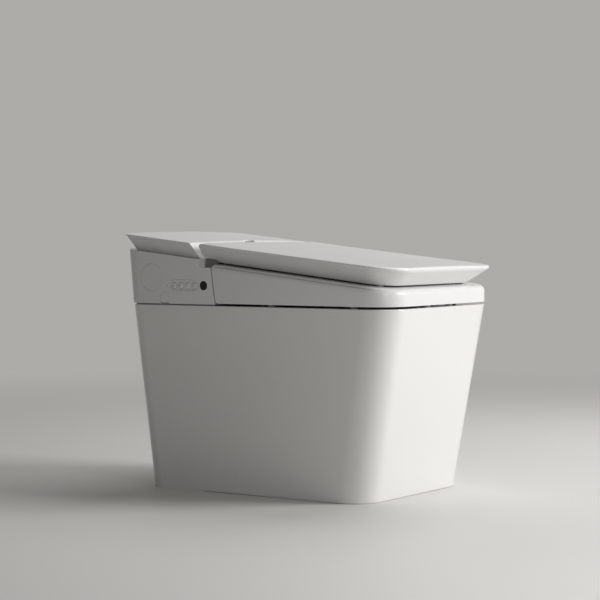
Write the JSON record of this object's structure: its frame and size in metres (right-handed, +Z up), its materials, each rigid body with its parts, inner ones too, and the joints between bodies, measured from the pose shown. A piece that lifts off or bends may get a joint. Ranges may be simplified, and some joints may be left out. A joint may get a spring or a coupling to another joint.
{
  "type": "smart toilet with heated seat",
  "caption": "Floor-standing smart toilet: skirted ceramic bowl with a slanted lid, heated seat, spray wands, warm-air dryer and side buttons on its rear unit.",
  "frame": {"origin": "on the floor, at the centre of the footprint of the whole object's bounding box", "axes": "+Z up, -Y out of the front of the bowl, -X the side that carries the buttons and the round filter cap"},
  "size_m": [0.408, 0.6517, 0.5175],
  "materials": {
    "ceramic": null,
    "white_plastic": "gloss",
    "hinge_plastic": "satin",
    "inner_plastic": "matte",
    "bezel_plastic": "satin",
    "smoke_lens": "gloss",
    "button_plastic": "gloss",
    "lamp_plastic": "gloss",
    "dark_lens": "gloss",
    "wand_plastic": "gloss",
    "carbon_filter": "matte",
    "circuit_board": "matte",
    "seal_rubber": "matte",
    "bumper_rubber": "matte",
    "steel": "brushed",
    "motor_steel": "brushed",
    "heater_alloy": "matte",
    "brass": "machined"
  },
  "bodies": {
    "fixed_unit": {"rim_deck": "ceramic", "pedestal_skirt": "ceramic", "service_well": "ceramic", "bowl": "ceramic", "sump": "ceramic", "water_trap": "ceramic", "base_plate": "inner_plastic", "rear_housing": "white_plastic", "rear_top_cover": "white_plastic", "receiver_window": "smoke_lens", "hinge_bracket_left": "hinge_plastic", "hinge_bracket_right": "hinge_plastic", "hinge_damper_left": "inner_plastic", "hinge_damper_right": "inner_plastic", "hinge_pin_left": "steel", "hinge_pin_right": "steel", "button_bezel": "bezel_plastic", "button_board": "circuit_board", "lamp_lens": "lamp_plastic", "sensor_window": "dark_lens", "filter_case": "inner_plastic", "odour_motor": "motor_steel", "nozzle_cover": "white_plastic", "nozzle_guide": "inner_plastic", "nozzle_stepper": "motor_steel", "dryer_duct": "inner_plastic", "dryer_motor": "motor_steel", "dryer_element": "heater_alloy", "inlet_valve": "brass", "valve_stand": "steel", "flush_tank": "inner_plastic", "flush_pump": "motor_steel", "flush_elbow": "inner_plastic", "flush_nozzle": "inner_plastic", "water_heater": "inner_plastic", "flow_selector": "inner_plastic", "power_supply": "heater_alloy", "main_board": "circuit_board", "cord_gland": "seal_rubber"},
    "seat": {"seat_upper_shell": "white_plastic", "seat_lower_shell": "white_plastic", "seat_heater": "heater_alloy", "seat_bumpers": "bumper_rubber"},
    "lid": {"lid_shell": "white_plastic", "lid_inner_panel": "white_plastic", "lid_bumpers": "bumper_rubber"},
    "control_button_1": {"button_1": "button_plastic"},
    "control_button_2": {"button_2": "button_plastic"},
    "control_button_3": {"button_3": "button_plastic"},
    "control_button_4": {"button_4": "button_plastic"},
    "release_tab": {"release_button": "white_plastic"},
    "filter_drawer": {"filter_cap": "white_plastic", "filter_cartridge": "carbon_filter"},
    "rear_wash_wand": {"rear_wand": "wand_plastic"},
    "front_wash_wand": {"front_wand": "wand_plastic"},
    "dryer_outlet_flap": {"dryer_flap": "white_plastic"},
    "dryer_fan_wheel": {"dryer_fan": "inner_plastic"},
    "odour_fan_wheel": {"odour_fan": "inner_plastic"}
  },
  "joints": [
    {"name": "seat_hinge", "type": "hinge", "parent": "fixed_unit", "child": "seat", "pos_m": [0, 0.11436, 0.48276], "axis": [-1, 0, 0], "range_deg": [0, 95]},
    {"name": "lid_hinge", "type": "hinge", "parent": "seat", "child": "lid", "pos_m": [0, 0.11436, 0.48276], "axis": [1, 0, 0], "range_deg": [-100, 0]},
    {"name": "button_1_press", "type": "slide", "parent": "fixed_unit", "child": "control_button_1", "axis": [1, 0, 0], "range_m": [0, 0.0015], "stiffness_N_per_m": 600},
    {"name": "button_2_press", "type": "slide", "parent": "fixed_unit", "child": "control_button_2", "axis": [1, 0, 0], "range_m": [0, 0.0015], "stiffness_N_per_m": 600},
    {"name": "button_3_press", "type": "slide", "parent": "fixed_unit", "child": "control_button_3", "axis": [1, 0, 0], "range_m": [0, 0.0015], "stiffness_N_per_m": 600},
    {"name": "button_4_press", "type": "slide", "parent": "fixed_unit", "child": "control_button_4", "axis": [1, 0, 0], "range_m": [0, 0.0015], "stiffness_N_per_m": 600},
    {"name": "release_press", "type": "slide", "parent": "fixed_unit", "child": "release_tab", "axis": [1, 0, 0], "range_m": [0, 0.003], "stiffness_N_per_m": 800},
    {"name": "filter_drawer_slide", "type": "slide", "parent": "fixed_unit", "child": "filter_drawer", "axis": [-1, 0, 0], "range_m": [0, 0.04]},
    {"name": "rear_wand_slide", "type": "slide", "parent": "fixed_unit", "child": "rear_wash_wand", "axis": [0, -0.9659, -0.2588], "range_m": [0, 0.095]},
    {"name": "front_wand_slide", "type": "slide", "parent": "fixed_unit", "child": "front_wash_wand", "axis": [0, -0.9659, -0.2588], "range_m": [0, 0.095]},
    {"name": "dryer_flap_hinge", "type": "hinge", "parent": "fixed_unit", "child": "dryer_outlet_flap", "pos_m": [0.071, 0.034, 0.396], "axis": [-1, 0, 0], "range_deg": [0, 60]},
    {"name": "dryer_fan_spin", "type": "hinge", "parent": "fixed_unit", "child": "dryer_fan_wheel", "pos_m": [0.088, 0.176, 0.39], "axis": [0, 0, 1], "continuous": true},
    {"name": "odour_fan_spin", "type": "hinge", "parent": "fixed_unit", "child": "odour_fan_wheel", "pos_m": [-0.15, 0.2488, 0.4258], "axis": [1, 0, 0], "continuous": true}
  ]
}
